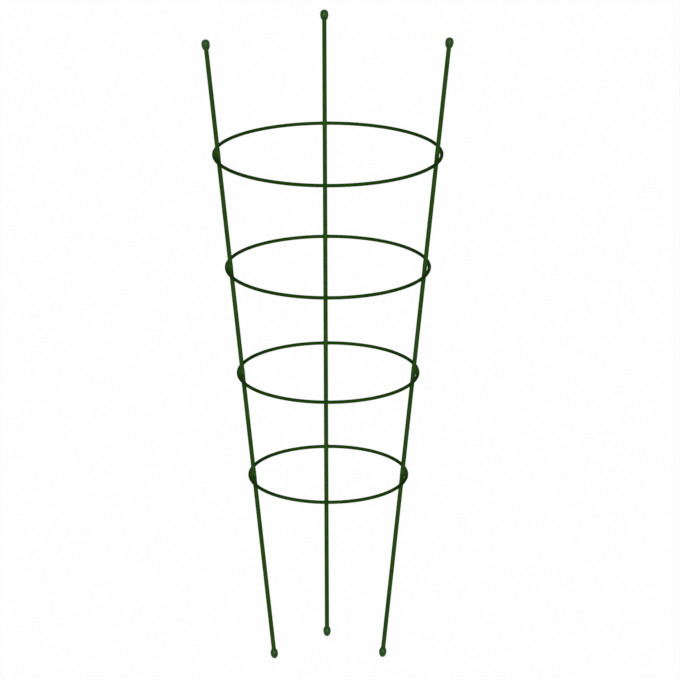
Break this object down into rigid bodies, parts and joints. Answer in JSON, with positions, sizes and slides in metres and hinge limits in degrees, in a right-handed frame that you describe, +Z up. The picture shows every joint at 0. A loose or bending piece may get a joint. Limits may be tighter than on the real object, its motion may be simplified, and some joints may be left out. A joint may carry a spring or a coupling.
{
  "type": "ring plant support",
  "caption": "Tapered garden plant support: coated steel stakes with ball caps and ground tips, joined by level wire rings that widen towards the top.",
  "frame": {"origin": "on the ground, at the middle of the support's outline, 5.2 mm behind the axis of the rings", "axes": "+Z up, +X towards the right stake, +Y towards the back stake"},
  "size_m": [0.2808, 0.2704, 0.7488],
  "materials": {
    "stake_coat": "satin dark green",
    "ring_coat": "satin dark green",
    "end_cap": "glossy green",
    "steel": "drawn, unpolished",
    "weld_metal": "dull, as welded"
  },
  "bodies": {
    "root": {"left_stake_rod": "steel", "left_stake_coat": "stake_coat", "left_ball_cap": "end_cap", "left_ground_tip": "end_cap", "right_stake_rod": "steel", "right_stake_coat": "stake_coat", "right_ball_cap": "end_cap", "right_ground_tip": "end_cap", "back_stake_rod": "steel", "back_stake_coat": "stake_coat", "back_ball_cap": "end_cap", "back_ground_tip": "end_cap", "bottom_ring_wire": "steel", "bottom_ring_coat": "ring_coat", "bottom_ring_left_weld": "weld_metal", "bottom_ring_right_weld": "weld_metal", "bottom_ring_back_weld": "weld_metal", "third_ring_wire": "steel", "third_ring_coat": "ring_coat", "third_ring_left_weld": "weld_metal", "third_ring_right_weld": "weld_metal", "third_ring_back_weld": "weld_metal", "second_ring_wire": "steel", "second_ring_coat": "ring_coat", "second_ring_left_weld": "weld_metal", "second_ring_right_weld": "weld_metal", "second_ring_back_weld": "weld_metal", "top_ring_wire": "steel", "top_ring_coat": "ring_coat", "top_ring_left_weld": "weld_metal", "top_ring_right_weld": "weld_metal", "top_ring_back_weld": "weld_metal"}
  },
  "joints": []
}
